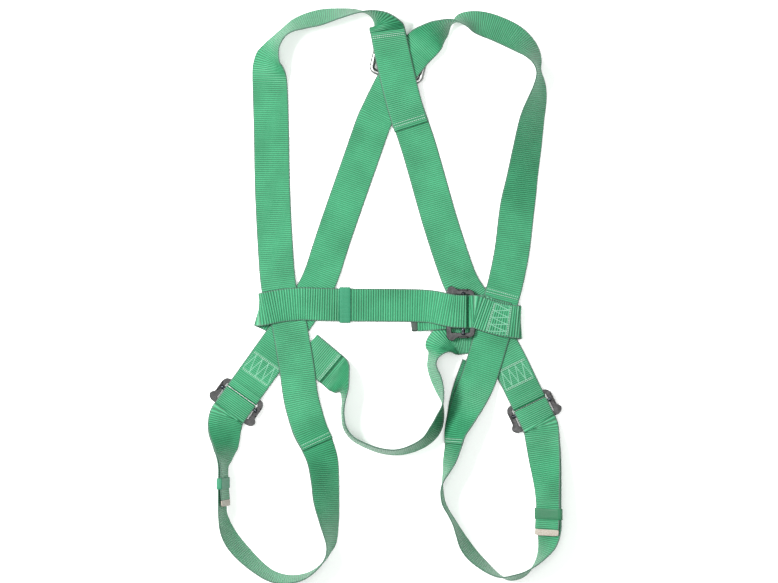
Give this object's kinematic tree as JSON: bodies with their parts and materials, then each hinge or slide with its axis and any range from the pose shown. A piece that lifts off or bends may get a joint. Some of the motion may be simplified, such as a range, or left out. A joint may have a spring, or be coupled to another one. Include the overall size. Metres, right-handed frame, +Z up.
{
  "type": "full body fall arrest harness",
  "caption": "Full-body webbing harness laid flat, with a dorsal D-ring, a chest buckle, adjustable thigh straps and a seat strap.",
  "frame": {"origin": "bottom centre of the bounding box, on the surface the harness lies on", "axes": "+Z up out of the surface it lies on, +Y towards the shoulders, +X towards the viewer's right seen from above"},
  "size_m": [0.4506, 0.7294, 0.0498],
  "materials": {
    "green_webbing": "ribbed polyester weave",
    "stitching_thread": "matte thread",
    "green_elastic": "matte elastic",
    "zinc_plated_steel": "bright zinc plate",
    "black_steel": "semi-gloss black",
    "dark_tip": "bound end",
    "pale_tip": "bound end"
  },
  "bodies": {
    "harness": {"main_strap_left": "green_webbing", "main_strap_right": "green_webbing", "dorsal_sleeve": "green_webbing", "chest_strap": "green_webbing", "chest_loop": "green_webbing", "seat_strap": "green_webbing", "seat_anchor": "green_webbing", "thigh_strap_left": "green_webbing", "thigh_strap_right": "green_webbing", "seam_dorsal_top": "stitching_thread", "seam_dorsal_bottom": "stitching_thread", "seam_front_right": "stitching_thread", "seam_thigh_left": "stitching_thread", "seam_thigh_right": "stitching_thread", "seam_seat": "stitching_thread", "seam_chest_loop": "stitching_thread", "seam_hip_left": "stitching_thread", "seam_hip_right": "stitching_thread", "thigh_buckle_left_frame": "black_steel", "thigh_buckle_right_frame": "black_steel", "chest_buckle_frame": "black_steel", "chest_tail_tip": "dark_tip", "thigh_tail_tip_left": "pale_tip", "thigh_tail_tip_right": "pale_tip"},
    "dorsal_ring": {"dorsal_d_ring": "zinc_plated_steel"},
    "chest_keeper_band": {"chest_keeper": "green_elastic"},
    "left_keeper_band": {"thigh_keeper_left": "green_elastic"},
    "right_keeper_band": {"thigh_keeper_right": "green_elastic"},
    "left_slide_bar": {"thigh_buckle_left_bar": "black_steel"},
    "right_slide_bar": {"thigh_buckle_right_bar": "black_steel"},
    "chest_slide_bar": {"chest_buckle_bar": "black_steel"}
  },
  "joints": [
    {"name": "dorsal_ring_hinge", "type": "hinge", "parent": "harness", "child": "dorsal_ring", "pos_m": [0.01311, 0.27721, 0.00651], "axis": [-0.9732, 0.23, 0], "range_deg": [0, 70]},
    {"name": "chest_keeper_slide", "type": "slide", "parent": "harness", "child": "chest_keeper_band", "axis": [1, 0, 0], "range_m": [0, 0.075]},
    {"name": "left_keeper_slide", "type": "slide", "parent": "harness", "child": "left_keeper_band", "axis": [0, 1, 0], "range_m": [0, 0.012]},
    {"name": "right_keeper_slide", "type": "slide", "parent": "harness", "child": "right_keeper_band", "axis": [0, 1, 0], "range_m": [0, 0.012]},
    {"name": "left_bar_slide", "type": "slide", "parent": "harness", "child": "left_slide_bar", "axis": [-0.5807, -0.8141, 0], "range_m": [0, 0.003]},
    {"name": "right_bar_slide", "type": "slide", "parent": "harness", "child": "right_slide_bar", "axis": [0.4384, -0.8988, 0], "range_m": [0, 0.003]},
    {"name": "chest_bar_slide", "type": "slide", "parent": "harness", "child": "chest_slide_bar", "axis": [-1, 0, 0], "range_m": [0, 0.003]}
  ]
}
